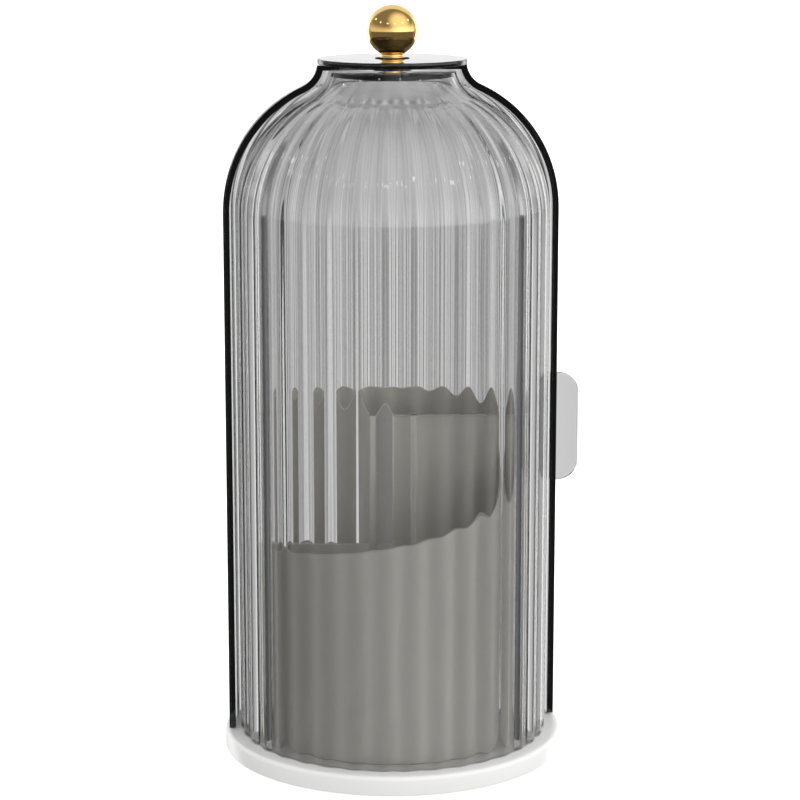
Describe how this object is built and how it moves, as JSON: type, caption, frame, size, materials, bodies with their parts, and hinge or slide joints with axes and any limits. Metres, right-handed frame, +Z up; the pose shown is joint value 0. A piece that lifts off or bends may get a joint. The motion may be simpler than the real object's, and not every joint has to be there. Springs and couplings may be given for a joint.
{
  "type": "rotating make-up brush organiser",
  "caption": "Domed, fluted smoked-plastic brush organiser on a white turntable, with a sliding half-shell door, a gold ball knob and a divided cup with a spiral rim.",
  "frame": {"origin": "on the turning axis, at the table surface that the rubber ring stands on", "axes": "+Z up along the turning axis, -Y towards the middle of the fixed fluted shell, +X towards the door's handle"},
  "size_m": [0.1438, 0.1368, 0.3002],
  "materials": {
    "white_plastic": "satin white moulded plastic",
    "rubber": "matte black anti-slip rubber",
    "steel": "zinc-plated pressed steel",
    "nylon": "natural nylon",
    "black_nylon": "black nylon",
    "cup_plastic": "warm grey satin plastic",
    "smoked_plastic": "polished transparent smoked grey, fluted outside",
    "handle_plastic": "polished light smoked plastic",
    "smoked_disc": "polished transparent smoked grey",
    "gold": "polished gold plate"
  },
  "bodies": {
    "foot": {"foot_plate": "white_plastic", "rubber_foot_ring": "rubber", "lower_race": "steel", "lower_race_screws": "steel"},
    "cage": {"ball_cage": "nylon", "bearing_balls": "steel"},
    "turntable": {"turntable_base": "white_plastic", "upper_race": "steel", "upper_race_screws": "steel", "centre_pin": "steel", "pivot_washer": "nylon", "cup_screws": "steel", "brush_cup": "cup_plastic", "cup_divider": "cup_plastic", "fixed_shell": "smoked_plastic", "lower_glide_washer": "gold", "upper_glide_washer": "black_nylon", "pivot_sleeve": "gold", "top_disc": "smoked_disc", "knob_washer": "black_nylon", "knob_collar": "gold", "knob_ball": "gold", "knob_screw": "gold"},
    "door": {"door_shell": "smoked_plastic", "door_handle": "handle_plastic", "door_bush": "black_nylon"}
  },
  "joints": [
    {"name": "turntable_spin", "type": "hinge", "parent": "foot", "child": "turntable", "pos_m": [0, 0, 0.004], "axis": [0, 0, 1], "continuous": true},
    {"name": "cage_spin", "type": "hinge", "parent": "foot", "child": "cage", "pos_m": [0, 0, 0.0045], "axis": [0, 0, 1], "continuous": true},
    {"name": "door_turn", "type": "hinge", "parent": "turntable", "child": "door", "pos_m": [0, 0, 0.276], "axis": [0, 0, 1], "continuous": true}
  ],
  "couplings": [
    {"joint": "cage_spin", "follows": "turntable_spin", "ratio": 0.5}
  ]
}
